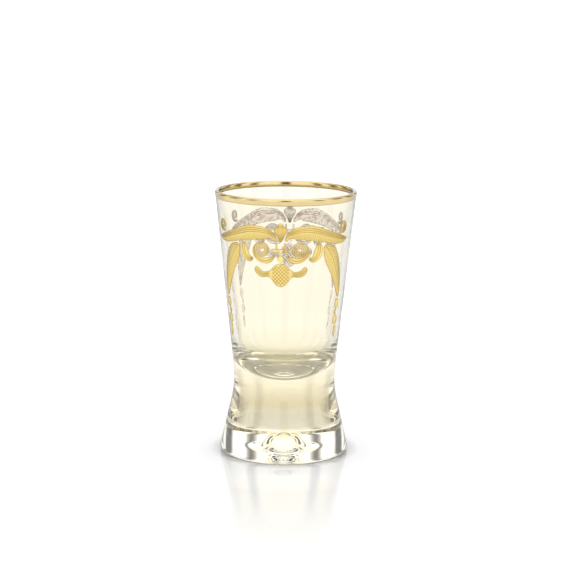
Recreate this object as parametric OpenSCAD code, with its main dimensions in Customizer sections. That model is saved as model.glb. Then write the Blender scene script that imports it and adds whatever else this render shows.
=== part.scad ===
// Gilded shot glass: a solid-footed, waisted tumbler of tinted glass with a
// gold band over its lip and two scroll-work motifs in raised gold on its wall.
// Millimetres, +Z up, origin on the ground at the centre of the foot. The
// front motif faces -Y and the back motif faces +Y.

/* [Glass] */
// Height of the glass, from the ground to the top of the lip
height = 90; // [75:1:110]
// Outer diameter at the lip
rim_d = 48; // [44:0.5:60]
// Diameter where the flare of the foot would meet the ground, before its edge is rounded
foot_d = 44.6; // [38:0.2:54]
// Diameter where the wall's taper and the foot's flare would cross, before they are blended
waist_d = 33.8; // [29:0.1:40]
// Height of that crossing above the ground
waist_z = 23.4; // [17:0.1:28]
// Radius that blends the taper into the flare
waist_blend_r = 35; // [10:1:60]
// Radius on the outer edge of the foot
foot_edge_r = 1.4; // [0.6:0.1:3]

/* [Bowl] */
// Thickness of the wall at the lip, which is rounded to half of it
lip_t = 1.3; // [1:0.1:2]
// Solid glass between the ground and the lowest point of the bowl
base_t = 26; // [18:0.5:32]
// Radius of the bowl's round bottom
bowl_r = 15.9; // [12:0.1:16.5]

/* [Punt] */
// Height of the dimple pressed into the underside
punt_h = 6.2; // [6:0.1:9]
// Radius of the dimple's domed top
punt_top_r = 4.3; // [3:0.1:4.4]
// Radius that rounds the dimple's mouth into the flat of the foot
punt_mouth_r = 6; // [3:0.1:6.2]
// Angle of the dimple's flank from the vertical
punt_flank = 25; // [24:1:40]

/* [Gold band] */
// Depth of the band down the outside of the lip
band_out = 2.1; // [1.2:0.1:5]
// Depth of the band down the inside of the lip
band_in = 1.7; // [1.2:0.1:5]
// Thickness of the gold on the lip
band_t = 0.12; // [0.06:0.01:0.3]

/* [Ornament] */
// How far the raised gold stands off the glass
relief_t = 0.34; // [0.1:0.02:0.6]
// Turn of the front motif about the axis, in degrees; the back motif is opposite
motif_turn = -4; // [-30:1:30]
// Distance from the lip down to the top of the front motif
front_drop = 7.8; // [4:0.1:16]
// Distance from the lip down to the top of the back motif
back_drop = 9; // [4:0.1:16]
// Distance round the wall between the two drops of a motif, which sets its scale
motif_w = 49.2; // [40:0.2:60]
// Radius of the pearl under the clasp, in a motif of the drawn scale
pearl_r = 1.15; // [0.6:0.05:1.2]
// Half length of the clasp's two bars, in a motif of the drawn scale
clasp_half = 3; // [2:0.1:3.4]

/* [Hidden] */
arc_step = 9;          // degrees between the points of a profile's arcs
spline_steps = 5;      // lengths that a spline has between two of its points
oval_points = 20;      // points on a bead's or pearl's outline
turning_fn = 96;       // fineness of a turned surface
band_clear = 0.4;      // bare glass left between the gold band and the ornament at least
lip_r = lip_t / 2;

// ---- the meridian of the glass, in (radius, height) ----

wall_angle = atan((rim_d - waist_d) / 2 / (height - waist_z));
flare_angle = atan((foot_d - waist_d) / 2 / waist_z);

// Outer radius of the straight wall at height z
function wall_r(z) = rim_d / 2 - (height - z) * tan(wall_angle);

// Points on an arc about c from angle a to angle b, both ends included
function arc(c, r, a, b) =
    let (n = max(2, ceil(abs(b - a) / arc_step)))
    [for (i = [0:n]) c + r * [cos(a + (b - a) * i / n), sin(a + (b - a) * i / n)]];

// Centre of the lip's round, which touches the outer wall and the top
lip_c = [wall_r(height - lip_r) - lip_r / cos(wall_angle), height - lip_r];

// The inner wall touches the lip's round and the bowl's round bottom
bowl_c = [0, base_t + bowl_r];
lip_to_bowl = lip_c - bowl_c;
inner_angle = acos((lip_r + bowl_r) / norm(lip_to_bowl)) - atan2(lip_to_bowl.y, lip_to_bowl.x);

// The foot's edge touches the flare and the ground
foot_edge_c = [foot_d / 2 - foot_edge_r * (tan(flare_angle) + 1 / cos(flare_angle)), foot_edge_r];

// The waist's blend touches the taper above it and the flare below it
waist_half = (wall_angle + flare_angle) / 2;
waist_c = [waist_d / 2, waist_z]
    + waist_blend_r / cos(waist_half) * [cos((flare_angle - wall_angle) / 2), sin((flare_angle - wall_angle) / 2)];

// The dimple: a dome, a straight flank and a rounded mouth
flank_len = (punt_h - punt_top_r + punt_top_r * sin(punt_flank)
    - punt_mouth_r * (1 - sin(punt_flank))) / cos(punt_flank);
punt_mouth_c = [(punt_top_r + punt_mouth_r) * cos(punt_flank) + flank_len * sin(punt_flank), punt_mouth_r];

glass_meridian = concat(
    arc([0, punt_h - punt_top_r], punt_top_r, 90, punt_flank),
    arc(punt_mouth_c, punt_mouth_r, 180 + punt_flank, 270),
    arc(foot_edge_c, foot_edge_r, -90, flare_angle),
    arc(waist_c, waist_blend_r, 180 + flare_angle, 180 - wall_angle),
    arc(lip_c, lip_r, -wall_angle, 180 - inner_angle),
    arc(bowl_c, bowl_r, -inner_angle, -90));

module glass_body() {
    color([0.93, 0.89, 0.72, 0.45])
        rotate_extrude($fn = turning_fn) polygon(glass_meridian);
}

// ---- the gold band over the lip ----

band_r = lip_r + band_t;
out_edge = [wall_r(height - band_out), height - band_out];
in_slide = (band_in - lip_r) / cos(inner_angle);
in_edge = lip_c + lip_r * [-cos(inner_angle), sin(inner_angle)]
    - in_slide * [sin(inner_angle), cos(inner_angle)];

band_meridian = concat(
    [out_edge + band_t * [cos(wall_angle), -sin(wall_angle)]],
    arc(lip_c, band_r, -wall_angle, 180 - inner_angle),
    [in_edge + band_t * [-cos(inner_angle), sin(inner_angle)], in_edge],
    arc(lip_c, lip_r, 180 - inner_angle, -wall_angle),
    [out_edge]);

module rim_band() {
    color("gold")
        rotate_extrude($fn = turning_fn) polygon(band_meridian);
}

// ---- the raised ornament ----

// A motif is drawn flat and in millimetres, its right-hand half only: x runs
// round the wall from the centre line, and y runs up from the motif's top, so it
// is negative. A leaf is a smooth line of [x, y, half width].
arch_leaf_line = [[1.5, -6.1, 0.2], [2.05, -5.1, 0.7], [3.35, -3.95, 1.3], [5.1, -3.55, 2.1],
    [7.5, -3.4, 2.4], [10.25, -3.5, 2.65], [13.4, -4.2, 2.4], [16.55, -5.1, 2.1], [19.3, -5.85, 1.95],
    [21.7, -6.4, 1.7], [24.3, -6.75, 1.2], [26.6, -6.6, 0.25]];
falling_leaf_line = [[15.55, -8, 0.75], [17.15, -9.8, 2.5], [18.9, -12.2, 3.15], [20.7, -15.3, 2.95],
    [22.25, -18.5, 2.45], [23.5, -21.8, 1.85], [24.4, -24.8, 1.15], [24.9, -26.6, 0.3]];
inner_leaf_line = [[13.05, -6.95, 0.5], [13.2, -8.5, 1.45], [13, -10.3, 1.7], [12.1, -11.8, 1.5],
    [10.85, -12.4, 1.05], [9.75, -12.1, 0.4]];

// A drop is a bead, a link, a second bead and a tip. A bead is [x, y, half width, half height].
upper_bead = [24.6, -28.9, 1.25, 1.75];
lower_bead = [24.6, -34.6, 1.45, 1.65];
drop_link_line = [[24.6, -31, 0.25], [24.05, -31.5, 0.5], [24, -32.1, 0.5], [24.5, -32.6, 0.25]];
drop_tip_line = [[24.7, -36.65, 0.35], [25.1, -37.8, 0.85], [24.8, -39.2, 0.6], [25.05, -40.9, 0.15]];

// A spiral has a centre, a stem that is a smooth line of [angle, radius, half
// width], and an eye in which the radius shrinks evenly from the stem's last
// angle to the end
volute_c = [6.4, -9.1];
volute_stem = [[206, 4.7, 0.3], [235, 4.15, 0.95], [270, 3.5, 0.9], [315, 3.15, 0.65], [360, 2.85, 0.42],
    [420, 2.55, 0.22]];
volute_end = [1590, 0.5];
outer_curl_c = [23.2, -2.3];
outer_curl_stem = [[-128, 2.15, 0.3], [-80, 1.95, 0.45], [-20, 1.8, 0.4], [60, 1.6, 0.36], [140, 1.35, 0.25],
    [200, 1.2, 0.19]];
outer_curl_end = [740, 0.35];
eye_half = 0.19;       // half width of a spiral's ribbon in its eye

// Half outlines of the pieces on the centre line, from top to bottom
palmette_half = [[0, 0], [0.8, -0.4], [1.2, -1.3], [1.7, -1.4], [2.15, -2.1], [1.9, -3.2],
    [1.25, -4.3], [0.75, -5.2], [0.5, -6], [0, -6.3]];
pendant_half = [[0, -13.5], [1.6, -14], [2.75, -15], [3.95, -16.1], [5.3, -16.45], [6.7, -16.1],
    [7.8, -15.2], [8.65, -14.8], [9.3, -15.6], [8.9, -17.1], [7.7, -18.1], [6.1, -18.4],
    [4.55, -18.2], [3.4, -18.8], [2.5, -20.1], [1.4, -21.2], [0, -21.6]];

// The clasp: two bars on a post, with two short ribs up towards the palmette
clasp_top = -8.6;
bar_h = 0.6;
bar_gap = 0.5;
post_half = 0.7;
rib_in = 1.1;
rib_out = 1.7;
rib_h = 1.9;
pearl_y = -12;

// Catmull-Rom point between p1 and p2
function between(p0, p1, p2, p3, t) =
    0.5 * (2 * p1 + (p2 - p0) * t + (2 * p0 - 5 * p1 + 4 * p2 - p3) * t * t
    + (3 * p1 - p0 - 3 * p2 + p3) * t * t * t);

// Smooth line through the points of p
function spline(p, steps = spline_steps) =
    let (last = len(p) - 1)
    concat([for (i = [0:last - 1], k = [0:steps - 1])
        between(p[max(i - 1, 0)], p[i], p[i + 1], p[min(i + 2, last)], k / steps)], [p[last]]);

function flat(p) = [p.x, p.y];
function unit(v) = v / norm(v);

// Outline of a ribbon along line c of [x, y, half width]
function ribbon(c) =
    let (last = len(c) - 1,
        side = [for (i = [0:last])
            let (d = unit(flat(c[min(i + 1, last)]) - flat(c[max(i - 1, 0)]))) [-d.y, d.x]])
    concat([for (i = [0:last]) flat(c[i]) + c[i].z * side[i]],
        [for (i = [last:-1:0]) flat(c[i]) - c[i].z * side[i]]);

function leaf(line) = ribbon(spline(line));

// Outline of a spiral about c, from its stem and its end of [angle, radius]
function spiral(c, stem, end) =
    let (last = stem[len(stem) - 1],
        shrink = (last.y - end[1]) / (end[0] - last.x),
        eye = [for (a = [last.x + 90:90:end[0]]) [a, last.y - shrink * (a - last.x), eye_half]])
    ribbon([for (p = spline(concat(stem, eye))) [c.x + p.y * cos(p.x), c.y + p.y * sin(p.x), p.z]]);

// Whole outline from a half outline that starts and ends on the centre line
function both_halves(half) =
    let (s = spline(half, 3)) concat(s, [for (i = [len(s) - 2:-1:1]) [-s[i].x, s[i].y]]);

// Outline of a bead of [x, y, half width, half height]
function oval(b) =
    [for (i = [0:oval_points - 1]) let (a = i * 360 / oval_points) [b[0] + b[2] * cos(a), b[1] + b[3] * sin(a)]];

bar_low = clasp_top - bar_gap - 2 * bar_h;
clasp_right = [[clasp_half, bar_low], [clasp_half, bar_low + bar_h], [post_half, bar_low + bar_h],
    [post_half, clasp_top - bar_h], [clasp_half, clasp_top - bar_h], [clasp_half, clasp_top],
    [rib_out, clasp_top], [rib_out, clasp_top + rib_h], [rib_in, clasp_top + rib_h], [rib_in, clasp_top]];
clasp_outline = concat(clasp_right,
    [for (i = [len(clasp_right) - 1:-1:0]) [-clasp_right[i].x, clasp_right[i].y]]);

// The drawing's scale, and the angle that a millimetre of it takes up on the
// wall, which is true at the clasp of a motif whose top is at height top
motif_scale = motif_w / (2 * upper_bead.x);
function deg_per_mm(top) = motif_scale * 180 / PI / wall_r(top + motif_scale * clasp_top);

// The skin on the outside of the glass that the raised gold fills: it runs
// from the foot, along the flare, the waist and the wall, to just under the band
function outside(t) = concat(
    [foot_edge_c + (foot_edge_r + t) * [cos(flare_angle), sin(flare_angle)]],
    arc(waist_c, waist_blend_r - t, 180 + flare_angle, 180 - wall_angle),
    [[wall_r(skin_high), skin_high] + t * [cos(wall_angle), -sin(wall_angle)]]);
skin_high = height - band_out - band_clear;
skin_low_to_high = outside(0);
skin_meridian = concat(outside(relief_t),
    [for (i = [len(skin_low_to_high) - 1:-1:0]) skin_low_to_high[i]]);

// Wraps outlines of the drawing on the wall: y becomes height, and x becomes an
// angle. They are cut from the skin as a prism that faces the middle of the
// outlines. Motif is [turn about the axis, height of its top], and side is 1
// for the right-hand half or -1 for its mirror image.
module raised(outlines, motif, side = 1) {
    scale_x = deg_per_mm(motif[1]);
    across = [for (outline = outlines, p = outline) p.x];
    middle = (min(across) + max(across)) / 2 * scale_x;
    color("goldenrod")
        intersection() {
            rotate([0, 0, motif[0] + side * middle])
                rotate([90, 0, 0])
                    linear_extrude(height = rim_d)
                        for (outline = outlines) {
                            polygon([for (p = outline)
                                let (z = motif[1] + motif_scale * p.y)
                                [side * wall_r(z) * sin(p.x * scale_x - middle), z]]);
                        }
            rotate_extrude($fn = turning_fn) polygon(skin_meridian);
        }
}

front = [motif_turn, height - front_drop];
back = [motif_turn + 180, height - back_drop];
right = 1;
left = -1;

module palmette(motif) { raised([both_halves(palmette_half)], motif); }
module clasp(motif) { raised([clasp_outline], motif); }
module pearl(motif) { raised([oval([0, pearl_y, pearl_r, pearl_r])], motif); }
module pendant(motif) { raised([both_halves(pendant_half)], motif); }
module arch_leaf(motif, side) { raised([leaf(arch_leaf_line)], motif, side); }
module falling_leaf(motif, side) { raised([leaf(falling_leaf_line)], motif, side); }
module inner_leaf(motif, side) { raised([leaf(inner_leaf_line)], motif, side); }
module volute(motif, side) { raised([spiral(volute_c, volute_stem, volute_end)], motif, side); }
module outer_curl(motif, side) { raised([spiral(outer_curl_c, outer_curl_stem, outer_curl_end)], motif, side); }
module drop(motif, side) {
    raised([oval(upper_bead), leaf(drop_link_line), oval(lower_bead), leaf(drop_tip_line)], motif, side);
}

// ---- nodes ----

glass_body();
rim_band();

palmette(front);  // front_palmette
clasp(front);  // front_clasp
pearl(front);  // front_pearl
pendant(front);  // front_pendant
arch_leaf(front, left);  // front_left_arch_leaf
arch_leaf(front, right);  // front_right_arch_leaf
falling_leaf(front, left);  // front_left_falling_leaf
falling_leaf(front, right);  // front_right_falling_leaf
inner_leaf(front, left);  // front_left_inner_leaf
inner_leaf(front, right);  // front_right_inner_leaf
volute(front, left);  // front_left_volute
volute(front, right);  // front_right_volute
outer_curl(front, left);  // front_left_outer_curl
outer_curl(front, right);  // front_right_outer_curl
drop(front, left);  // front_left_drop
drop(front, right);  // front_right_drop

palmette(back);  // back_palmette
clasp(back);  // back_clasp
pearl(back);  // back_pearl
pendant(back);  // back_pendant
arch_leaf(back, left);  // back_left_arch_leaf
arch_leaf(back, right);  // back_right_arch_leaf
falling_leaf(back, left);  // back_left_falling_leaf
falling_leaf(back, right);  // back_right_falling_leaf
inner_leaf(back, left);  // back_left_inner_leaf
inner_leaf(back, right);  // back_right_inner_leaf
volute(back, left);  // back_left_volute
volute(back, right);  // back_right_volute
outer_curl(back, left);  // back_left_outer_curl
outer_curl(back, right);  // back_right_outer_curl
drop(back, left);  // back_left_drop
drop(back, right);  // back_right_drop
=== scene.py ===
"""Looks of a gilded shot glass: turned glass, a polished gold lip and engraved raised gold.

Sizes are in millimetres, in the part's own frame: +Z up, the foot on the ground,
the front motif facing -Y. A mesh is scaled to metres when it is made.
"""
import math

import bpy
import numpy as np
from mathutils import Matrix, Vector


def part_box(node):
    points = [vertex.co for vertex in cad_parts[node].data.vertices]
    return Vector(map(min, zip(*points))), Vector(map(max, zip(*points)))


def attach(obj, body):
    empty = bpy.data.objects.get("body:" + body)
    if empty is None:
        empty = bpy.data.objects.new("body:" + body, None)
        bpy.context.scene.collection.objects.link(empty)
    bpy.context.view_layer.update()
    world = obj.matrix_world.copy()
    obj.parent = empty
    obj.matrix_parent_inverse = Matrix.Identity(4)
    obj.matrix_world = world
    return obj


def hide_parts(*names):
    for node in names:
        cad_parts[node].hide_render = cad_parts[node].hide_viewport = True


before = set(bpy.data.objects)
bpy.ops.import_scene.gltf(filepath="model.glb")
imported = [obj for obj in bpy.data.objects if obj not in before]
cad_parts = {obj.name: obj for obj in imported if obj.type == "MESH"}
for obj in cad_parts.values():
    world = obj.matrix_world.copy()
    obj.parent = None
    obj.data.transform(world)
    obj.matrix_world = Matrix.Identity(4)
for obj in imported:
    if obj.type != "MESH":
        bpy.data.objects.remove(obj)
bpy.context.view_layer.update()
MM = 0.001

# ---- sizes, which repeat the design's ----

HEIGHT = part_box("glass_body")[1][2] / MM
RIM_D = 48.0
FOOT_D = 44.6
WAIST_D = 33.8
WAIST_Z = 23.4
WAIST_BLEND_R = 35.0
FOOT_EDGE_R = 1.4
LIP_R = 0.65
BASE_T = 26.0
BOWL_R = 15.9
PUNT_H = 6.2
PUNT_TOP_R = 4.3
PUNT_MOUTH_R = 6.0
PUNT_FLANK = math.radians(25)
BAND_OUT = 2.1
BAND_IN = 1.7
BAND_T = 0.11          # a hair thinner than the design's, so that it stays inside the design's box
BAND_THINNING = 0.35   # distance over which the band thins to its edges
BAND_EDGE = 0.6        # thickness left at its edges, as a part of BAND_T
FRONT = (math.radians(-4), HEIGHT - 7.8)       # turn about the axis, and height of a motif's top
BACK = (math.radians(176), HEIGHT - 9)
RELIEF = 0.34          # how far the raised gold stands off the glass
SUNK = 0.05            # how far gold is set into the glass, so that no air lies between them

TURN_STEPS = 384       # steps round a turned piece
ARC_STEP = math.radians(2.5)
WALL_STEP = 0.9        # longest step along a straight stretch of a turned profile

WALL_ANGLE = math.atan((RIM_D - WAIST_D) / 2 / (HEIGHT - WAIST_Z))
FLARE_ANGLE = math.atan((FOOT_D - WAIST_D) / 2 / WAIST_Z)


def wall_r(z):
    """Outer radius of the straight wall at height z."""
    return RIM_D / 2 - (HEIGHT - z) * math.tan(WALL_ANGLE)


# ---- turned pieces ----

def arc(centre, radius, start, end):
    """Points centre + radius * (cos a, sin a), for a from start to end."""
    count = max(2, math.ceil(abs(end - start) / ARC_STEP)) + 1
    a = np.linspace(start, end, count)
    return np.asarray(centre) + radius * np.stack([np.cos(a), np.sin(a)], axis=1)


def filled_in(points):
    """The same profile, with points added so that no step is longer than WALL_STEP."""
    out = [points[:1]]
    for a, b in zip(points[:-1], points[1:]):
        count = max(1, math.ceil(np.linalg.norm(b - a) / WALL_STEP))
        out.append(a + (b - a) * np.linspace(0, 1, count + 1)[1:, None])
    return np.concatenate(out)


HALF_TURN = math.pi
QUARTER_TURN = math.pi / 2

lip_centre = np.array([wall_r(HEIGHT - LIP_R) - LIP_R / math.cos(WALL_ANGLE), HEIGHT - LIP_R])
bowl_centre = np.array([0.0, BASE_T + BOWL_R])
lip_to_bowl = lip_centre - bowl_centre
INNER_ANGLE = (math.acos((LIP_R + BOWL_R) / np.linalg.norm(lip_to_bowl))
               - math.atan2(lip_to_bowl[1], lip_to_bowl[0]))
foot_edge_centre = np.array([
    FOOT_D / 2 - FOOT_EDGE_R * (math.tan(FLARE_ANGLE) + 1 / math.cos(FLARE_ANGLE)), FOOT_EDGE_R])
waist_lean = (FLARE_ANGLE - WALL_ANGLE) / 2
waist_centre = (np.array([WAIST_D / 2, WAIST_Z])
                + WAIST_BLEND_R / math.cos((WALL_ANGLE + FLARE_ANGLE) / 2)
                * np.array([math.cos(waist_lean), math.sin(waist_lean)]))
flank_length = (PUNT_H - PUNT_TOP_R + PUNT_TOP_R * math.sin(PUNT_FLANK)
                - PUNT_MOUTH_R * (1 - math.sin(PUNT_FLANK))) / math.cos(PUNT_FLANK)
punt_mouth_centre = np.array([(PUNT_TOP_R + PUNT_MOUTH_R) * math.cos(PUNT_FLANK)
                              + flank_length * math.sin(PUNT_FLANK), PUNT_MOUTH_R])


def glass_profile():
    """Closed meridian of the glass from the top of the punt, out over the foot, up the wall
    and down into the bowl, as arcs joined by their common tangents."""
    return filled_in(np.concatenate([
        arc([0, PUNT_H - PUNT_TOP_R], PUNT_TOP_R, QUARTER_TURN, PUNT_FLANK),
        arc(punt_mouth_centre, PUNT_MOUTH_R, HALF_TURN + PUNT_FLANK, HALF_TURN + QUARTER_TURN),
        arc(foot_edge_centre, FOOT_EDGE_R, -QUARTER_TURN, FLARE_ANGLE),
        arc(waist_centre, WAIST_BLEND_R, HALF_TURN + FLARE_ANGLE, HALF_TURN - WALL_ANGLE),
        arc(lip_centre, LIP_R, -WALL_ANGLE, HALF_TURN - INNER_ANGLE),
        arc(bowl_centre, BOWL_R, -INNER_ANGLE, -QUARTER_TURN)]))


def band_profile():
    """Closed meridian of the gold on the lip: the lip's own outline pushed out by the gold's
    thickness, and pushed in by SUNK on the way back, with both ends thinning to an edge."""
    out_edge = np.array([wall_r(HEIGHT - BAND_OUT), HEIGHT - BAND_OUT])
    slide = (BAND_IN - LIP_R) / math.cos(INNER_ANGLE)
    inward = np.array([-math.cos(INNER_ANGLE), math.sin(INNER_ANGLE)])
    outward = np.array([math.cos(WALL_ANGLE), -math.sin(WALL_ANGLE)])
    down_wall = np.array([-math.sin(WALL_ANGLE), -math.cos(WALL_ANGLE)])
    down_bowl = np.array([-math.sin(INNER_ANGLE), -math.cos(INNER_ANGLE)])
    in_edge = lip_centre + LIP_R * inward + slide * down_bowl
    return filled_in(np.concatenate([
        [out_edge - SUNK * outward],
        [out_edge + BAND_EDGE * BAND_T * outward],
        [out_edge + BAND_T * outward - BAND_THINNING * down_wall],
        arc(lip_centre, LIP_R + BAND_T, -WALL_ANGLE, HALF_TURN - INNER_ANGLE),
        [in_edge + BAND_T * inward - BAND_THINNING * down_bowl],
        [in_edge + BAND_EDGE * BAND_T * inward],
        [in_edge - SUNK * inward],
        arc(lip_centre, LIP_R - SUNK, HALF_TURN - INNER_ANGLE, -WALL_ANGLE)]))


def turned(name, profile, closed):
    """Turns a profile of (radius, height) about the axis: each point becomes
    (r sin a, -r cos a, z) on a ring. A profile that isn't closed starts and ends on the axis."""
    a = np.linspace(0, 2 * math.pi, TURN_STEPS, endpoint=False)
    rings = profile if closed else profile[1:-1]
    grid = np.stack([rings[:, :1] * np.sin(a), -rings[:, :1] * np.cos(a),
                     np.repeat(rings[:, 1:], TURN_STEPS, axis=1)], axis=-1)
    verts = grid.reshape(-1, 3)
    ring_count = len(rings)
    strips = ring_count if closed else ring_count - 1
    i, j = np.meshgrid(np.arange(strips), np.arange(TURN_STEPS), indexing="ij")
    here, there = i * TURN_STEPS, (i + 1) % ring_count * TURN_STEPS
    after = (j + 1) % TURN_STEPS
    quads = np.stack([here + j, here + after, there + after, there + j], axis=-1).reshape(-1, 4)
    if closed:
        return make_mesh(name, verts, quads)
    first, last = len(verts), len(verts) + 1
    verts = np.concatenate([verts, [[0, 0, profile[0, 1]], [0, 0, profile[-1, 1]]]])
    j = np.arange(TURN_STEPS)
    after = (j + 1) % TURN_STEPS
    top = (ring_count - 1) * TURN_STEPS
    caps = np.concatenate([np.stack([np.full_like(j, first), after, j], axis=1),
                           np.stack([np.full_like(j, last), top + j, top + after], axis=1)])
    return make_mesh(name, verts, quads, caps)


def make_mesh(name, verts, quads, tris=None, attributes=None, face_slots=None):
    """Puts millimetre vertices and faces into a smooth mesh object in metres."""
    tris = np.empty((0, 3), int) if tris is None else tris
    mesh = bpy.data.meshes.new(name)
    mesh.vertices.add(len(verts))
    mesh.vertices.foreach_set("co", (np.asarray(verts) * MM).astype(np.float32).ravel())
    corners = np.concatenate([quads.ravel(), tris.ravel()])
    mesh.loops.add(len(corners))
    mesh.loops.foreach_set("vertex_index", corners.astype(np.int32))
    sizes = np.concatenate([np.full(len(quads), 4), np.full(len(tris), 3)])
    mesh.polygons.add(len(sizes))
    mesh.polygons.foreach_set("loop_start", np.concatenate([[0], np.cumsum(sizes)[:-1]]).astype(np.int32))
    mesh.polygons.foreach_set("use_smooth", np.ones(len(sizes), bool))
    if face_slots is not None:
        mesh.polygons.foreach_set("material_index", face_slots.astype(np.int32))
    for key, values in (attributes or {}).items():
        layer = mesh.attributes.new(key, "FLOAT", "POINT")
        layer.data.foreach_set("value", np.asarray(values, np.float32).ravel())
    mesh.update(calc_edges=True)
    mesh.validate()
    obj = bpy.data.objects.new(name, mesh)
    bpy.context.scene.collection.objects.link(obj)
    return obj


# ---- the drawing of a motif: its right-hand half, x round the wall, y up from its top ----

ARCH_LEAF = [[1.5, -6.1, 0.2], [2.05, -5.1, 0.7], [3.35, -3.95, 1.3], [5.1, -3.55, 2.1],
             [7.5, -3.4, 2.4], [10.25, -3.5, 2.65], [13.4, -4.2, 2.4], [16.55, -5.1, 2.1],
             [19.3, -5.85, 1.95], [21.7, -6.4, 1.7], [24.3, -6.75, 1.2], [26.6, -6.6, 0.25]]
FALLING_LEAF = [[15.55, -8, 0.75], [17.15, -9.8, 2.5], [18.9, -12.2, 3.15], [20.7, -15.3, 2.95],
                [22.25, -18.5, 2.45], [23.5, -21.8, 1.85], [24.4, -24.8, 1.15], [24.9, -26.6, 0.3]]
INNER_LEAF = [[13.05, -6.95, 0.5], [13.2, -8.5, 1.45], [13, -10.3, 1.7], [12.1, -11.8, 1.5],
              [10.85, -12.4, 1.05], [9.75, -12.1, 0.4]]
DROP_LINK = [[24.6, -31, 0.25], [24.05, -31.5, 0.5], [24, -32.1, 0.5], [24.5, -32.6, 0.25]]
DROP_TIP = [[24.7, -36.65, 0.35], [25.1, -37.8, 0.85], [24.8, -39.2, 0.6], [25.05, -40.9, 0.15]]
UPPER_BEAD = [24.6, -28.9, 1.25, 1.75]
LOWER_BEAD = [24.6, -34.6, 1.45, 1.65]
PEARL = [0, -12, 1.15, 1.15]
VOLUTE_CENTRE = (6.4, -9.1)
VOLUTE_STEM = [[206, 4.7, 0.3], [235, 4.15, 0.95], [270, 3.5, 0.9], [315, 3.15, 0.65],
               [360, 2.85, 0.42], [420, 2.55, 0.22]]
VOLUTE_END = (1590, 0.5)
OUTER_CURL_CENTRE = (23.2, -2.3)
OUTER_CURL_STEM = [[-128, 2.15, 0.3], [-80, 1.95, 0.45], [-20, 1.8, 0.4], [60, 1.6, 0.36],
                   [140, 1.35, 0.25], [200, 1.2, 0.19]]
OUTER_CURL_END = (740, 0.35)
EYE_HALF = 0.23        # a little fuller than the design's, so that the eye reads as gold
PALMETTE_HALF = [[0, 0], [0.8, -0.4], [1.2, -1.3], [1.7, -1.4], [2.15, -2.1], [1.9, -3.2],
                 [1.25, -4.3], [0.75, -5.2], [0.5, -6], [0, -6.3]]
PENDANT_TOP = [[0, -13.5], [1.6, -14], [2.75, -15], [3.95, -16.1], [5.3, -16.45], [6.7, -16.1],
               [7.8, -15.2], [8.65, -14.8], [9.3, -15.6]]
PENDANT_FOOT = [[0, -21.6], [1.4, -21.2], [2.5, -20.1], [3.4, -18.8], [4.55, -18.2], [6.1, -18.4],
                [7.7, -18.1], [8.9, -17.1], [9.3, -15.6]]
CLASP_TOP = -8.6
CLASP_HALF = 3.0
BAR_H = 0.6
BAR_GAP = 0.5
POST_HALF = 0.7
RIB_IN = 1.1
RIB_OUT = 1.7
RIB_H = 1.9
POST_INSET = 0.2       # the post's ends lie this far inside the bars' outer edges
RIB_INSET = 0.1        # and the ribs' feet this far inside the upper bar


def spline(points, step):
    """Catmull-Rom line through points of [x, y, ...], sampled about every step millimetres."""
    p = np.asarray(points, float)
    padded = np.concatenate([p[:1], p, p[-1:]])
    out = []
    for i in range(len(p) - 1):
        p0, p1, p2, p3 = padded[i:i + 4]
        count = max(2, math.ceil(np.linalg.norm((p2 - p1)[:2]) / step))
        t = np.linspace(0, 1, count, endpoint=False)[:, None]
        out.append(0.5 * (2 * p1 + (p2 - p0) * t + (2 * p0 - 5 * p1 + 4 * p2 - p3) * t ** 2
                          + (3 * p1 - p0 - 3 * p2 + p3) * t ** 3))
    return np.concatenate(out + [p[-1:]])


# ---- raised gold: a crowned, engraved sheet between two edge lines ----

ALONG = 0.12           # step of the mesh along a piece
ACROSS = 0.085         # step of the mesh across a piece
ENGRAVED = 0.14        # depth of the engraving
LEAST_RISE = 0.02      # least distance between the upper and the lower skin, inside the outline
SPREAD = 0.92 * QUARTER_TURN   # the sine of this range crowds the mesh's lines towards the edges
OUTLINE = 0.16         # width of the dark line that the engraver leaves round a piece
LOBE = 1.8             # length of a lobe in a leaf's edge
NOTCH = 0.13           # depth of the notch between two lobes, as a part of the half width
PETALS = 5             # grooves on each side of the palmette
NET_HALF = 3.2         # the pendant's net reaches this far from its middle
WING_FROM = 3.0        # the lines on its wings start to show this far from its middle


def ribbon_edges(line, lobe=0.0, notch=0.0):
    """Edge lines of a ribbon: each centre point plus and minus its half width along the normal.
    Lobes of the given length scallop both edges: the half width shrinks by
    notch * (1 - |sin(pi u / lobe)|^0.6) along the arc length u, and leaves every lobe's top alone."""
    d = np.gradient(line[:, :2], axis=0)
    normal = np.stack([-d[:, 1], d[:, 0]], axis=1) / np.linalg.norm(d, axis=1)[:, None]
    half = line[:, 2:3]
    if lobe:
        u = np.concatenate([[0], np.cumsum(np.linalg.norm(np.diff(line[:, :2], axis=0), axis=1))])
        half = half * (1 - notch * (1 - np.abs(np.sin(math.pi * u / lobe)) ** 0.6))[:, None]
    return line[:, :2] - half * normal, line[:, :2] + half * normal


def spiral_line(centre, stem, end):
    """Centre line of a spiral: centre + radius * (cos, sin) of an angle that grows along a stem,
    and then, in the eye, with a radius that shrinks evenly to the end."""
    last_angle, last_radius = stem[-1][:2]
    angle = np.arange(last_angle + 90, end[0] + 1, 90)
    radius = last_radius + (end[1] - last_radius) * (angle - last_angle) / (end[0] - last_angle)
    table = np.concatenate([stem, np.stack([angle, radius, np.full(len(angle), EYE_HALF)], axis=1)])
    mean_radius = 2.0      # makes degrees comparable with millimetres, to space the samples
    table[:, 0] = np.radians(table[:, 0]) * mean_radius
    arc_length, radius, half = spline(table, ALONG).T
    a = arc_length / mean_radius
    return np.stack([centre[0] + radius * np.cos(a), centre[1] + radius * np.sin(a), half], axis=1)


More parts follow.
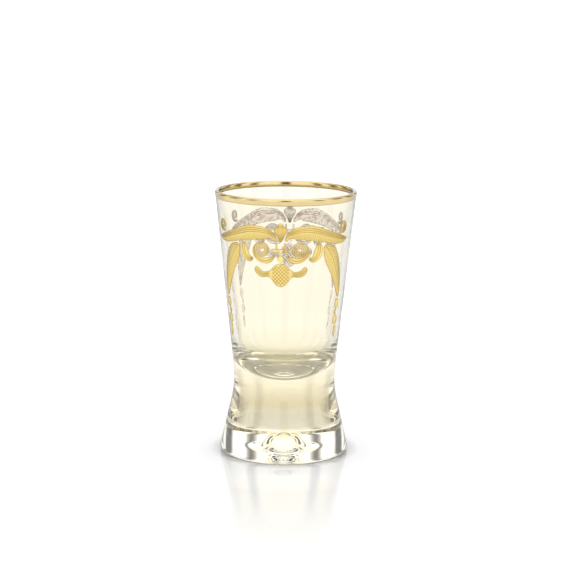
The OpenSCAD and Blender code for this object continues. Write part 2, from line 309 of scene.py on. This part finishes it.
def oval_edges(bead):
    """Left and right halves of an oval's outline, from its top to its bottom: x less and plus
    rx * sin(a), and y + ry * cos(a)."""
    x, y, rx, ry = bead
    a = np.linspace(0, math.pi, max(12, math.ceil(math.pi * ry / ALONG)))
    return (np.stack([x - rx * np.sin(a), y + ry * np.cos(a)], axis=1),
            np.stack([x + rx * np.sin(a), y + ry * np.cos(a)], axis=1))


def grooves(distance, width):
    """Depth of a groove with a rounded floor: exp(-(distance / width)^2)."""
    return np.exp(-(distance / width) ** 2)


def lines_along(v, count, half, width=0.15):
    """Grooves that run along a piece and share its width equally. None lies within 0.6 of a
    pitch of the edges, and they fade out where they would crowd closer than 0.3 mm."""
    pitch = 2 / count
    offset = np.abs((v / pitch + 0.5 * (count % 2)) % 1 - 0.5) * pitch * half
    inner = np.abs(v) < 1 - 0.6 * pitch
    return grooves(offset, width) * inner * np.clip(half * pitch / 0.3, 0, 1)


def barbs(u, v, half, pitch, slant, width=0.14):
    """Grooves that leave the midrib on both sides, as on a feather: evenly spaced in the arc
    length less slant times the distance from the midrib."""
    offset = ((u - slant * np.abs(v) * half) / pitch % 1 - 0.5) * pitch
    return grooves(np.abs(offset), width) * np.clip((np.abs(v) - 0.12) / 0.1, 0, 1) * (np.abs(v) < 0.93)


def net_line(across, pitch=1.25):
    """Equal parallel grooves a pitch apart, for one direction of a net."""
    return grooves((across / pitch % 1 - 0.5) * pitch, 0.15)


def sheet_grid(left, right):
    """Grid between two edge lines of the same length, and the arc length u, the place across v
    from -1 to 1, and the half width at each of its points."""
    half = np.linalg.norm(right - left, axis=1) / 2
    count = max(7, math.ceil(2 * half.max() / ACROSS))
    v = np.sin(np.linspace(-SPREAD, SPREAD, count)) / math.sin(SPREAD)
    middle = (left + right) / 2
    u = np.concatenate([[0], np.cumsum(np.linalg.norm(np.diff(middle, axis=0), axis=1))])
    flat = middle[:, None] + (right - left)[:, None] / 2 * v[None, :, None]
    return flat, u[:, None], v[None, :], half[:, None]


def crown(v, half, full=0.55):
    """Height of a rounded back across a piece, from 0 at its edges to 1 in the middle:
    (1 - |v|^3.2)^0.55. Where the half width is less than full it is lower, by the 0.6th power
    of their ratio, so narrow ends taper down."""
    edge = (1 - np.abs(v) ** 3.2) ** 0.55
    return edge * np.minimum(1, half / full) ** 0.6


def on_wall(flat, height, motif, side):
    """Wraps the drawing on the glass: x becomes an angle about the axis, y a height, and
    height a distance from the wall along its normal."""
    turn, top = motif
    z = top + flat[..., 1]
    a = turn + side * flat[..., 0] / wall_r(top + CLASP_TOP)
    r = wall_r(z) + height * math.cos(WALL_ANGLE)
    return np.stack([r * np.sin(a), -r * np.cos(a), z - height * math.sin(WALL_ANGLE)], axis=-1)


def relief_parts(left, right, motif, side, engrave):
    """One closed island of raised gold. Its upper skin is crown(v) * RELIEF less the
    engraving, its lower skin is SUNK into the glass, and both share their outline."""
    flat, u, v, half = sheet_grid(left, right)
    rise = crown(v, half)
    cut = np.clip(engrave(u, v, half), 0, 1) * np.ones_like(rise)
    top = -SUNK + (RELIEF + SUNK) * rise - ENGRAVED * cut * np.minimum(1, rise * 1.2)
    edge = np.zeros(top.shape, bool)
    edge[[0, -1], :] = True
    edge[:, [0, -1]] = True
    top = np.where(edge, -SUNK, np.maximum(top, LEAST_RISE - SUNK))
    rows, cols = top.shape
    upper = on_wall(flat, top, motif, side).reshape(-1, 3)
    lower = on_wall(flat, np.full(top.shape, -SUNK), motif, side).reshape(-1, 3)
    inner = ~edge.ravel()
    index = np.arange(rows * cols)
    below = index.copy()
    below[inner] = rows * cols + np.arange(inner.sum())
    i, j = np.meshgrid(np.arange(rows - 1), np.arange(cols - 1), indexing="ij")
    corner = np.stack([i * cols + j, i * cols + j + 1, (i + 1) * cols + j + 1, (i + 1) * cols + j],
                      axis=-1).reshape(-1, 4)
    down = below[corner]
    up = corner
    p = upper[corner[len(corner) // 2]]
    outward = np.cross(p[1] - p[0], p[3] - p[0]) @ [p[0][0], p[0][1], 0]
    if outward > 0:
        down = down[:, ::-1]
    else:
        up = up[:, ::-1]
    verts = np.concatenate([upper, lower[inner]])
    quads = np.concatenate([up, down])
    slots = np.concatenate([np.zeros(len(up)), np.ones(len(down))])
    lined = np.maximum(cut, grooves((1 - np.abs(v)) * half, OUTLINE))
    return verts, quads, slots, np.concatenate([lined.ravel(), lined.ravel()[inner]])


def relief(name, islands, motif, side=1):
    """Joins the islands of a piece into one mesh. An island is (left, right, engrave)."""
    verts, quads, slots, cuts, count = [], [], [], [], 0
    for left, right, engrave in islands:
        v, q, s, c = relief_parts(left, right, motif, side, engrave)
        verts.append(v)
        quads.append(q + count)
        slots.append(s)
        cuts.append(c)
        count += len(v)
    return make_mesh(name, np.concatenate(verts), np.concatenate(quads),
                     attributes={"engraving": np.concatenate(cuts)}, face_slots=np.concatenate(slots))


def plain(u, v, half):
    """No engraving."""
    return 0 * u * v


def four_lines(u, v, half):
    """Four grooves along the piece."""
    return lines_along(v, 4, half)


def three_lines(u, v, half):
    """Three grooves along the piece."""
    return lines_along(v, 3, half)


def arch_leaf(name, motif, side):
    """A lobed ribbon, from the palmette out over the volute."""
    line = spline(ARCH_LEAF, ALONG)

    def veins(u, v, half):
        """Lines along the upper part, and short slanting barbs in each lobe of the lower part."""
        low = np.clip((-0.05 - v) / 0.1, 0, 1)
        return np.maximum(lines_along(v, 8, half, 0.13) * (1 - low), barbs(u, v, half, LOBE / 2, 0.9) * low)
    return relief(name, [(*ribbon_edges(line, LOBE, NOTCH), veins)], motif, side)


def falling_leaf(name, motif, side):
    """A lobed ribbon that hangs from the arch leaf's outer end and narrows to a point."""
    line = spline(FALLING_LEAF, ALONG)

    def veins(u, v, half):
        """A midrib and close barbs, with a deeper line where one lobe meets the next."""
        return np.maximum(barbs(u, v, half, LOBE / 2, 0.9), grooves(v * half, 0.15))
    return relief(name, [(*ribbon_edges(line, LOBE, NOTCH), veins)], motif, side)


def inner_leaf(name, motif, side):
    """A short lobed ribbon that curls in between the falling leaf and the volute."""
    line = spline(INNER_LEAF, ALONG)
    return relief(name, [(*ribbon_edges(line, LOBE, NOTCH), four_lines)], motif, side)


def volute(name, motif, side):
    """A spiral ribbon whose stem is broad and whose eye is an even thin line."""
    line = spiral_line(VOLUTE_CENTRE, VOLUTE_STEM, VOLUTE_END)
    return relief(name, [(*ribbon_edges(line), three_lines)], motif, side)


def outer_curl(name, motif, side):
    """A small spiral ribbon over the arch leaf's outer end."""
    line = spiral_line(OUTER_CURL_CENTRE, OUTER_CURL_STEM, OUTER_CURL_END)
    return relief(name, [(*ribbon_edges(line), three_lines)], motif, side)


def drop(name, motif, side):
    """A chain under the falling leaf: bead, link, bead and tip."""
    link = ribbon_edges(spline(DROP_LINK, ALONG / 2))
    tip = ribbon_edges(spline(DROP_TIP, ALONG))
    return relief(name, [(*oval_edges(UPPER_BEAD), plain), (*link, plain),
                         (*oval_edges(LOWER_BEAD), plain), (*tip, plain)], motif, side)


def palmette(name, motif):
    """A closed bud: one spline and its mirror image, engraved with petals."""
    half = spline(PALMETTE_HALF, ALONG)
    left = half * [-1, 1]

    def petals(u, v, width):
        """Fine grooves at even places across, which fade out towards the top."""
        fan = np.abs(v) * PETALS
        groove = grooves(np.abs(fan % 1 - 0.5) / PETALS * width, 0.1)
        return groove * (np.abs(v) < 0.9) * np.clip(u / 1.2, 0, 1)
    return relief(name, [(left, half, petals)], motif)


def pendant(name, motif):
    """A boss between two wings: each edge is a height over x, sampled at x = end * sin(a), which
    crowds the samples towards the wings' ends, and mirrored about the middle."""
    top = spline(PENDANT_TOP, ALONG / 2)
    foot = spline(PENDANT_FOOT, ALONG / 2)
    x = PENDANT_TOP[-1][0] * np.sin(np.linspace(0, QUARTER_TURN, 90))

    def both_sides(line):
        """The edge at every x, from the left wing's end to the right wing's."""
        y = np.interp(x, np.maximum.accumulate(line[:, 0]), line[:, 1])
        half_edge = np.stack([x, y], axis=1)
        return np.concatenate([half_edge[::-1] * [-1, 1], half_edge[1:]])

    def hatching(u, v, half):
        """Lines along both wings, and a crossed net on the boss between them."""
        x = u - u.max() / 2
        y = v * half
        wing = lines_along(v, 4, half) * np.clip((np.abs(x) - WING_FROM) / 1.5, 0, 1)
        net = np.maximum(net_line(x + y), net_line(x - y)) * (np.abs(v) < 0.85)
        return np.maximum(wing, net * np.clip((NET_HALF - np.abs(x)) / 0.5, 0, 1))
    return relief(name, [(both_sides(foot), both_sides(top), hatching)], motif)


def pearl(name, motif):
    """A plain round bead under the clasp."""
    return relief(name, [(*oval_edges(PEARL), plain)], motif)


def bar(x0, x1, y0, y1):
    """Lower and upper edge of a level rectangle."""
    x = np.linspace(x0, x1, max(6, math.ceil((x1 - x0) / ALONG)))
    return np.stack([x, np.full_like(x, y0)], axis=1), np.stack([x, np.full_like(x, y1)], axis=1)


def rib(x0, x1, y0, y1):
    """Left and right edge of an upright rectangle."""
    y = np.linspace(y0, y1, max(6, math.ceil((y1 - y0) / ALONG)))
    return np.stack([np.full_like(y, x0), y], axis=1), np.stack([np.full_like(y, x1), y], axis=1)


def clasp(name, motif):
    """Two bars on a post, with two ribs up towards the palmette; the post and the ribs end
    inside the bars."""
    low = CLASP_TOP - BAR_GAP - 2 * BAR_H
    edges = [bar(-CLASP_HALF, CLASP_HALF, CLASP_TOP - BAR_H, CLASP_TOP),
             bar(-CLASP_HALF, CLASP_HALF, low, low + BAR_H),
             rib(-POST_HALF, POST_HALF, low + POST_INSET, CLASP_TOP - POST_INSET),
             rib(RIB_IN, RIB_OUT, CLASP_TOP - RIB_INSET, CLASP_TOP + RIB_H),
             rib(-RIB_OUT, -RIB_IN, CLASP_TOP - RIB_INSET, CLASP_TOP + RIB_H)]
    return relief(name, [(left, right, plain) for left, right in edges], motif)


# ---- materials ----

def new_material(name):
    """A material with its node tree and its Principled shader."""
    material = bpy.data.materials.new(name)
    material.use_nodes = True
    tree = material.node_tree
    return material, tree, tree.nodes["Principled BSDF"]


def grain_group():
    """Fine noise on Object coordinates: a value from 0 to 1 and a bumped normal."""
    tree = bpy.data.node_groups.new("fine_grain", "ShaderNodeTree")
    tree.interface.new_socket("Scale", in_out="INPUT", socket_type="NodeSocketFloat").default_value = 2000
    tree.interface.new_socket("Depth", in_out="INPUT", socket_type="NodeSocketFloat").default_value = 0.2
    tree.interface.new_socket("Value", in_out="OUTPUT", socket_type="NodeSocketFloat")
    tree.interface.new_socket("Normal", in_out="OUTPUT", socket_type="NodeSocketVector")
    enter, leave = tree.nodes.new("NodeGroupInput"), tree.nodes.new("NodeGroupOutput")
    where = tree.nodes.new("ShaderNodeTexCoord")
    noise = tree.nodes.new("ShaderNodeTexNoise")
    noise.inputs["Detail"].default_value = 3
    bump = tree.nodes.new("ShaderNodeBump")
    bump.inputs["Distance"].default_value = 0.02 * MM
    link = tree.links.new
    link(where.outputs["Object"], noise.inputs["Vector"])
    link(enter.outputs["Scale"], noise.inputs["Scale"])
    link(enter.outputs["Depth"], bump.inputs["Strength"])
    link(noise.outputs["Fac"], bump.inputs["Height"])
    link(noise.outputs["Fac"], leave.inputs["Value"])
    link(bump.outputs["Normal"], leave.inputs["Normal"])
    return tree


GRAIN = grain_group()


def grain(tree, scale, depth):
    """Places the fine grain in a material with its own scale and depth."""
    node = tree.nodes.new("ShaderNodeGroup")
    node.node_tree = GRAIN
    node.inputs["Scale"].default_value = scale
    node.inputs["Depth"].default_value = depth
    return node


def mixed(tree, factor, a, b):
    """Mixes colour a towards b by factor. A colour is a socket or an RGB triple."""
    node = tree.nodes.new("ShaderNodeMix")
    node.data_type = "RGBA"
    for value, socket in ((factor, node.inputs[0]), (a, node.inputs[6]), (b, node.inputs[7])):
        if isinstance(value, tuple):
            socket.default_value = (*value, 1)
        else:
            tree.links.new(value, socket)
    return node.outputs[2]


def ranged(tree, value, low, high, to_low, to_high):
    """Carries a value from the range low..high to to_low..to_high, and stops at both ends."""
    node = tree.nodes.new("ShaderNodeMapRange")
    tree.links.new(value, node.inputs["Value"])
    for socket, number in zip(("From Min", "From Max", "To Min", "To Max"), (low, high, to_low, to_high)):
        node.inputs[socket].default_value = number
    return node.outputs["Result"]


def engraving(tree):
    """How deep the engraving is at a point, from 0 to 1, stored with the mesh."""
    node = tree.nodes.new("ShaderNodeAttribute")
    node.attribute_name = "engraving"
    return node.outputs["Fac"]


def stepped(tree, length, steps):
    """Colour that changes with a length: steps are (millimetres, colour)."""
    ramp = tree.nodes.new("ShaderNodeValToRGB")
    elements = ramp.color_ramp.elements
    while len(elements) < len(steps):
        elements.new(0.5)
    last = steps[-1][0]
    for element, (at, colour) in zip(elements, steps):
        element.position = at / last
        element.color = (*colour, 1)
    tree.links.new(ranged(tree, length, 0, last * MM, 0, 1), ramp.inputs["Fac"])
    return ramp.outputs["Color"]


def edge_on(tree, start, end, most):
    """Rises from 0 where a surface faces the eye to the most where it is seen edge on."""
    weight = tree.nodes.new("ShaderNodeLayerWeight")
    weight.inputs["Blend"].default_value = 0.5
    return ranged(tree, weight.outputs["Facing"], start, end, 0, most)


def glass_material():
    """Clear glass under a straw-coloured stain, which is fired on the outside: it is deepest at
    the waist, pale on the wall, and leaves the foot clear. Light that crosses it aslant has
    further to go in it, so it is deeper there too, and the much darker colour where the glass is seen edge
    on is painted shade."""
    material, tree, shader = new_material("straw_glass")
    where = tree.nodes.new("ShaderNodeTexCoord")
    split = tree.nodes.new("ShaderNodeSeparateXYZ")
    tree.links.new(where.outputs["Object"], split.inputs["Vector"])
    stain = stepped(tree, split.outputs["Z"], (
        (5, (0.995, 0.992, 0.97)), (11, (0.95, 0.84, 0.55)), (19, (0.95, 0.84, 0.55)),
        (28, (0.985, 0.935, 0.75)), (40, (0.992, 0.965, 0.86)), (80, (0.994, 0.972, 0.88))))
    # painted shade where the glass is seen edge on, over the stain's own deeper colour aslant
    aslant = mixed(tree, edge_on(tree, 0.62, 0.95, 0.85), stain, (0.50, 0.42, 0.24))
    tree.links.new(aslant, shader.inputs["Base Color"])
    shader.inputs["Roughness"].default_value = 0.0
    shader.inputs["IOR"].default_value = 1.5
    shader.inputs["Transmission Weight"].default_value = 1.0
    tint = tree.nodes.new("ShaderNodeVolumeAbsorption")
    tint.inputs["Color"].default_value = (0.99, 0.93, 0.70, 1)
    tint.inputs["Density"].default_value = 4.0
    tree.links.new(tint.outputs["Volume"], tree.nodes["Material Output"].inputs["Volume"])
    return material


def satin_gold():
    """Matte raised gold: darker in the engraving, with painted shade where it is seen edge on."""
    material, tree, shader = new_material("satin_gold")
    texture = grain(tree, 2600, 0.35)
    worn = grain(tree, 420, 0.0)
    cut = engraving(tree)
    bright = mixed(tree, worn.outputs["Value"], (0.95, 0.71, 0.23), (1.0, 0.85, 0.36))
    lined = mixed(tree, cut, bright, (0.54, 0.33, 0.07))
    # painted shade: the gold goes dark brown where it is seen edge on
    tree.links.new(mixed(tree, edge_on(tree, 0.42, 0.78, 0.85), lined, (0.20, 0.13, 0.05)),
                   shader.inputs["Base Color"])
    shader.inputs["Metallic"].default_value = 1.0
    tree.links.new(ranged(tree, texture.outputs["Value"], 0.3, 0.7, 0.28, 0.42), shader.inputs["Roughness"])
    tree.links.new(texture.outputs["Normal"], shader.inputs["Normal"])
    return material


def gold_reverse():
    """The raised gold's underside, seen through the glass: pale, speckled and matte, with dark
    engraving, and with a faint glow, which is painted light that keeps it pale."""
    material, tree, shader = new_material("gold_reverse")
    texture = grain(tree, 1800, 0.5)
    worn = grain(tree, 900, 0.0)
    cut = engraving(tree)
    blotch = ranged(tree, worn.outputs["Value"], 0.42, 0.6, 0, 1)
    bare = mixed(tree, blotch, (0.96, 0.92, 0.90), (0.60, 0.50, 0.44))
    tree.links.new(mixed(tree, cut, bare, (0.12, 0.07, 0.04)), shader.inputs["Base Color"])
    # painted light: the underside glows in its own pale tones, darker in blotches and engraving
    painted_glow = mixed(tree, blotch, (0.63, 0.60, 0.58), (0.42, 0.37, 0.34))
    tree.links.new(mixed(tree, cut, painted_glow, (0.03, 0.015, 0.01)), shader.inputs["Emission Color"])
    shader.inputs["Emission Strength"].default_value = 1.0
    material.cycles.emission_sampling = "NONE"
    shader.inputs["Metallic"].default_value = 0.0
    tree.links.new(ranged(tree, texture.outputs["Value"], 0.3, 0.7, 0.4, 0.6), shader.inputs["Roughness"])
    tree.links.new(texture.outputs["Normal"], shader.inputs["Normal"])
    return material


def polished_gold():
    """The lip's burnished gold, with painted shade that darkens it where it is seen edge on."""
    material, tree, shader = new_material("polished_gold")
    texture = grain(tree, 900, 0.06)
    worn = grain(tree, 240, 0.0)
    tone = mixed(tree, worn.outputs["Value"], (0.74, 0.57, 0.27), (0.82, 0.66, 0.34))
    # painted shade: the lip gold goes dark where it is seen edge on
    tree.links.new(mixed(tree, edge_on(tree, 0.45, 0.85, 0.85), tone, (0.16, 0.12, 0.06)),
                   shader.inputs["Base Color"])
    shader.inputs["Metallic"].default_value = 1.0
    tree.links.new(ranged(tree, texture.outputs["Value"], 0.3, 0.7, 0.10, 0.18), shader.inputs["Roughness"])
    tree.links.new(texture.outputs["Normal"], shader.inputs["Normal"])
    return material


def grey(level):
    """Red, green and blue of one level."""
    return (level, level, level)


def floor_material():
    """Pale floor, greyer and glossy close to the glass, which is painted shadow, and white and matte
    away from it, and glowing with painted light beside the foot and far out. Rays that have crossed
    glass find tones of their own, a painted shadow darker near the axis and a painted glow under
    the glass, chosen for the look of the bowl and base."""
    material, tree, shader = new_material("pale_floor")
    where = tree.nodes.new("ShaderNodeTexCoord")
    length = tree.nodes.new("ShaderNodeVectorMath")
    length.operation = "LENGTH"
    tree.links.new(where.outputs["Object"], length.inputs[0])
    distance = length.outputs["Value"]
    # painted shadow: the floor seen directly is greyer close to the glass
    open_floor = stepped(tree, distance, ((22, (0.50, 0.505, 0.52)), (45, (0.68, 0.685, 0.69)),
                                          (100, grey(0.74)), (150, grey(0.88))))
    # painted shadow of the glass, for rays that have crossed it: darker near the axis
    shade = stepped(tree, distance, ((40, grey(0.64)), (75, grey(0.83))))
    path = tree.nodes.new("ShaderNodeLightPath")
    through_glass = ranged(tree, path.outputs["Transmission Depth"], 0, 1, 0, 1)
    tree.links.new(mixed(tree, through_glass, open_floor, shade), shader.inputs["Base Color"])
    tree.links.new(ranged(tree, distance, 0.04, 0.10, 0.06, 0.35), shader.inputs["Roughness"])
    tree.links.new(ranged(tree, distance, 0.09, 0.20, 0.5, 0), shader.inputs["Specular IOR Level"])
    shader.inputs["IOR"].default_value = 1.7
    # painted light: the floor glows, most just beside the foot, where the glass's shade falls, and again
    # far out
    glow = stepped(tree, distance, ((22, grey(0.0)), (26, grey(0.2)), (36, grey(0.2)), (52, grey(0.1)),
                                    (100, grey(0.12)), (150, grey(0.18))))
    # painted light under the glass: rays that have crossed it find the floor glowing near the axis
    under = stepped(tree, distance, ((18, (0.16, 0.15, 0.11)), (28, grey(0.0))))
    tree.links.new(mixed(tree, through_glass, glow, under), shader.inputs["Emission Color"])
    shader.inputs["Emission Strength"].default_value = 1.0
    return material


# ---- the pieces ----

def fitted(piece, node, slot, *materials):
    """Stands a piece in for its node, on the one body."""
    for material in materials:
        piece.data.materials.append(material)
    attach(piece, "root")
    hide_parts(node)


glass = glass_material()
gold, reverse, bright = satin_gold(), gold_reverse(), polished_gold()

fitted(turned("glass", glass_profile(), closed=False), "glass_body", "glass", glass)
fitted(turned("lip_gilding", band_profile(), closed=True), "rim_band", "bright_gold", bright)

for face, motif in (("front", FRONT), ("back", BACK)):
    for make in (palmette, clasp, pearl, pendant):
        node = f"{face}_{make.__name__}"
        fitted(make(node + "_gold", motif), node, "matte_gold", gold, reverse)
    for make in (arch_leaf, falling_leaf, inner_leaf, volute, outer_curl, drop):
        for hand, side in (("left", -1), ("right", 1)):
            node = f"{face}_{hand}_{make.__name__}"
            fitted(make(node + "_gold", motif, side), node, "matte_gold", gold, reverse)

# ---- stage, lights and camera ----

FLOOR_GAP = 0.04       # air left under the foot, so that it and the floor are two surfaces
FLOOR_RINGS = (60, 150, 400, 1200, 4000.0)     # radii of the floor's rings of points
FLOOR_SIDES = 64


def floor():
    """A round floor, as rings of points that spread out from the axis."""
    radius = np.array(FLOOR_RINGS)[:, None]
    a = np.linspace(0, 2 * math.pi, FLOOR_SIDES, endpoint=False)
    rings = np.stack([radius * np.cos(a), radius * np.sin(a),
                      np.full((len(radius), FLOOR_SIDES), -FLOOR_GAP)], axis=-1).reshape(-1, 3)
    verts = np.concatenate([rings, [[0, 0, -FLOOR_GAP]]])
    i, j = np.meshgrid(np.arange(len(radius) - 1), np.arange(FLOOR_SIDES), indexing="ij")
    here, there = i * FLOOR_SIDES, (i + 1) * FLOOR_SIDES
    after = (j + 1) % FLOOR_SIDES
    quads = np.stack([here + j, there + j, there + after, here + after], axis=-1).reshape(-1, 4)
    j = np.arange(FLOOR_SIDES)
    tris = np.stack([np.full(FLOOR_SIDES, len(rings)), j, (j + 1) % FLOOR_SIDES], axis=1)
    obj = make_mesh("floor", verts, quads, tris)
    obj.data.materials.append(floor_material())


floor()

# Black flags round the white studio, which show only in what the glass and the gold reflect:
# azimuth from behind the glass towards the right, half width in degrees, and depth of black
FLAGS = ((22, 3, 0.8), (-22, 3, 0.8), (54, 9, 0.9), (-54, 9, 0.9), (86, 9, 0.9), (-86, 9, 0.9),
         (122, 8, 0.75), (-122, 8, 0.75), (180, 8, 0.9))
FLAG_BLUR = 2.5                # degrees over which a flag's edge fades, to each side of it
FLAG_TOP = (40.0, 55.0)        # elevations between which the flags fade out
STUDIO_LIGHT = 1.28


def math_node(tree, operation, a, b):
    """The result of an operation on the values of two sockets."""
    node = tree.nodes.new("ShaderNodeMath")
    node.operation = operation
    tree.links.new(a, node.inputs[0])
    tree.links.new(b, node.inputs[1])
    return node.outputs["Value"]


def vector_node(tree, operation, a, b=None):
    """An operation on a vector socket and, if it takes one, a fixed vector b."""
    node = tree.nodes.new("ShaderNodeVectorMath")
    node.operation = operation
    tree.links.new(a, node.inputs[0])
    if b is not None:
        node.inputs[1].default_value = b
    return node


def studio():
    """White all round, with soft upright dark flags that only show in reflections: a flag is
    where the level part of the direction has a dot product near 1 with the flag's own."""
    world = bpy.data.worlds.new("studio")
    world.use_nodes = True
    tree = world.node_tree
    background = tree.nodes["Background"]
    where = tree.nodes.new("ShaderNodeTexCoord").outputs["Generated"]
    flattened = vector_node(tree, "MULTIPLY", where, (1, 1, 0)).outputs["Vector"]
    level = vector_node(tree, "NORMALIZE", flattened).outputs["Vector"]
    split = tree.nodes.new("ShaderNodeSeparateXYZ")
    tree.links.new(where, split.inputs["Vector"])
    light = None
    for azimuth, half_width, depth in FLAGS:
        a = math.radians(azimuth)
        dot = vector_node(tree, "DOT_PRODUCT", level, (math.sin(a), math.cos(a), 0)).outputs["Value"]
        left = ranged(tree, dot, math.cos(math.radians(half_width + FLAG_BLUR)),
                      math.cos(math.radians(half_width - FLAG_BLUR)), 1, 1 - depth)
        light = left if light is None else math_node(tree, "MULTIPLY", light, left)
    top = ranged(tree, split.outputs["Z"], *(math.sin(math.radians(e)) for e in FLAG_TOP), 0, 1)
    light = math_node(tree, "MAXIMUM", light, top)
    path = tree.nodes.new("ShaderNodeLightPath")
    unreflected = ranged(tree, path.outputs["Glossy Depth"], 0, 1, 1, 0)
    tree.links.new(math_node(tree, "MAXIMUM", light, unreflected), background.inputs["Color"])
    background.inputs["Strength"].default_value = STUDIO_LIGHT
    bpy.context.scene.world = world


studio()


def from_axis(azimuth, elevation, distance, height):
    """Point at a bearing from the axis: azimuth 0 is in front, and 90 is to the right."""
    a, e = math.radians(azimuth), math.radians(elevation)
    return (distance * math.cos(e) * math.sin(a) * MM, -distance * math.cos(e) * math.cos(a) * MM,
            (height + distance * math.sin(e)) * MM)


def aim(obj, target):
    """Turns an object's -Z towards a target in metres and keeps its X level."""
    direction = Vector(target) - obj.location
    obj.rotation_euler = direction.to_track_quat("-Z", "Y").to_euler()


CAMERA_DISTANCE = 600.0
CAMERA_ELEVATION = 12.16
CAMERA_ROLL = 0.51
LENS = 110.07
LOOK_AT_Z = 45.0
AIM_ABOVE = 11.8       # the camera aims over the middle, so that the floor fills the lower part
AIM_RIGHT = 0.5
camera_data = bpy.data.cameras.new("camera")
camera_data.sensor_width = 36
camera_data.lens = LENS
camera = bpy.data.objects.new("camera", camera_data)
bpy.context.scene.collection.objects.link(camera)
camera.location = from_axis(0, CAMERA_ELEVATION, CAMERA_DISTANCE, LOOK_AT_Z)
aim(camera, (AIM_RIGHT * MM, 0, (LOOK_AT_Z + AIM_ABOVE) * MM))
camera.rotation_euler.rotate_axis("Z", math.radians(CAMERA_ROLL))
bpy.context.scene.camera = camera

scene = bpy.context.scene
scene.view_settings.view_transform = "Standard"
scene.cycles.max_bounces = 24
scene.cycles.transmission_bounces = 20
scene.cycles.glossy_bounces = 8
